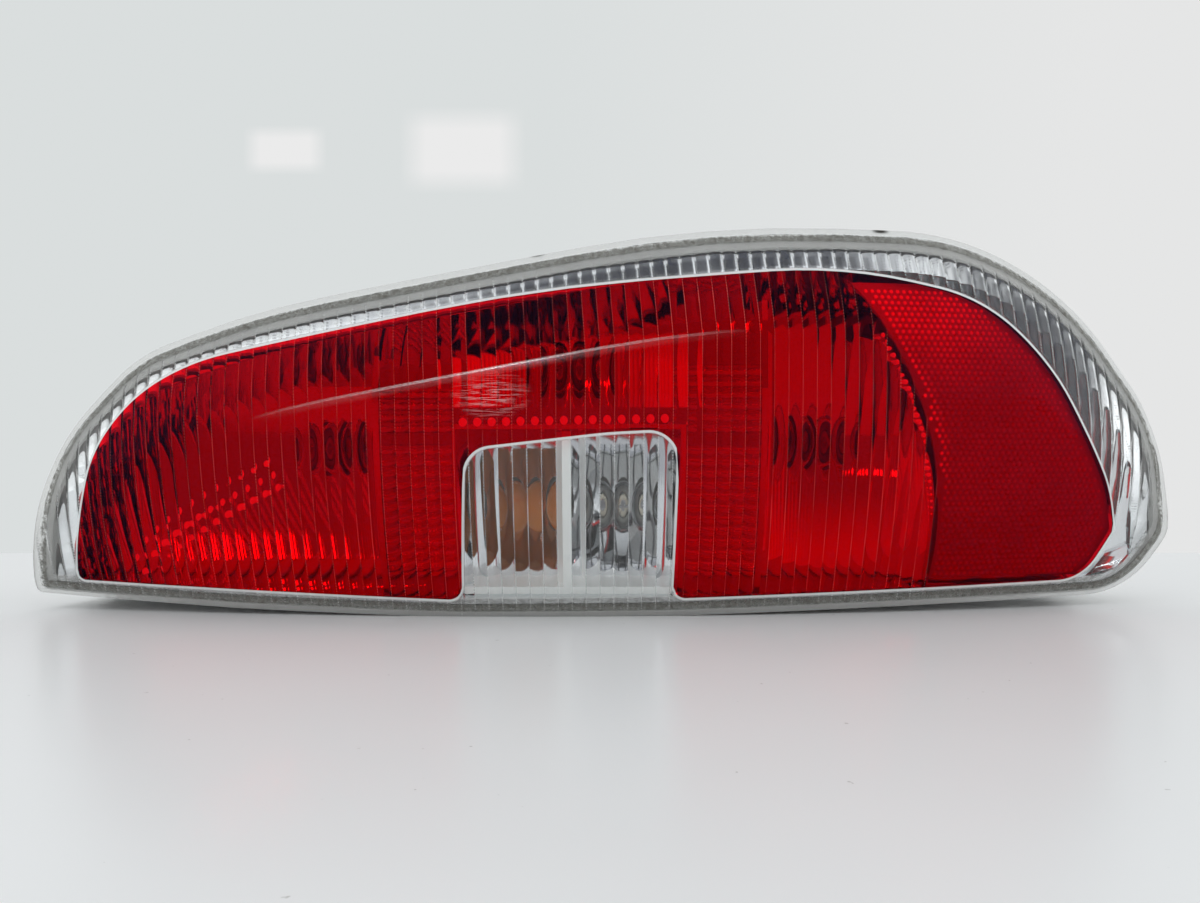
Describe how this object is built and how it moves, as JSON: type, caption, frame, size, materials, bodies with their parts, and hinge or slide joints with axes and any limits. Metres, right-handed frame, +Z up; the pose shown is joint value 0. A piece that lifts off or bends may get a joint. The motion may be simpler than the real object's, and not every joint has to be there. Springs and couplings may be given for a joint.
{
  "type": "tail light cluster",
  "caption": "Long wing-shaped rear lamp of a family car with a fluted red and clear lens, a reflex zone and a clear reversing window.",
  "frame": {"origin": "middle between the two mounting studs, on the plane where the lamp meets the car body", "axes": "+X along the lamp towards its high rounded end, +Y out of the back along the studs, +Z up; the lens faces -Y and the lamp rests on its lower edge"},
  "size_m": [0.5385, 0.1279, 0.1748],
  "materials": {
    "clear_lens": "clear moulded plastic, gloss",
    "red_lens": "see-through red moulded plastic, gloss",
    "reflex_red": "red prism plate, gloss",
    "mirror_coat": "vacuum metallised plastic, bright",
    "white_frame": "white plastic, semi gloss",
    "housing_grey": "grey moulded plastic, fine grain",
    "carrier_white": "off-white moulded plastic",
    "gasket_rubber": "matt",
    "strip_brass": "pressed, slightly dull",
    "pin_tinned": "tinned, dull",
    "bulb_clear": "clear, gloss",
    "filament_wire": "drawn wire",
    "bulb_base_metal": "plated, dull",
    "bulb_amber": "amber, gloss",
    "seal_foam": "closed-cell foam rubber, matt",
    "seal_rubber": "matt",
    "stud_zinc": "zinc plated",
    "vent_rubber": "matt"
  },
  "bodies": {
    "root": {"lens_clear": "clear_lens", "lens_red": "red_lens", "reflex_reflector": "reflex_red", "reflector": "mirror_coat", "window_frame": "white_frame", "housing": "housing_grey", "bulb_carrier": "carrier_white", "carrier_gasket": "gasket_rubber", "contact_strips": "strip_brass", "connector_pins": "pin_tinned", "bulb_tail_glass": "bulb_clear", "bulb_tail_filament": "filament_wire", "bulb_tail_base": "bulb_base_metal", "bulb_stop_glass": "bulb_clear", "bulb_stop_filament": "filament_wire", "bulb_stop_base": "bulb_base_metal", "bulb_indicator_glass": "bulb_amber", "bulb_indicator_filament": "filament_wire", "bulb_indicator_base": "bulb_base_metal", "bulb_reverse_glass": "bulb_clear", "bulb_reverse_filament": "filament_wire", "bulb_reverse_base": "bulb_base_metal", "bulb_fog_glass": "bulb_clear", "bulb_fog_filament": "filament_wire", "bulb_fog_base": "bulb_base_metal", "body_seal": "seal_foam", "stud_seals": "seal_rubber", "mounting_studs": "stud_zinc", "vent_caps": "vent_rubber"}
  },
  "joints": []
}
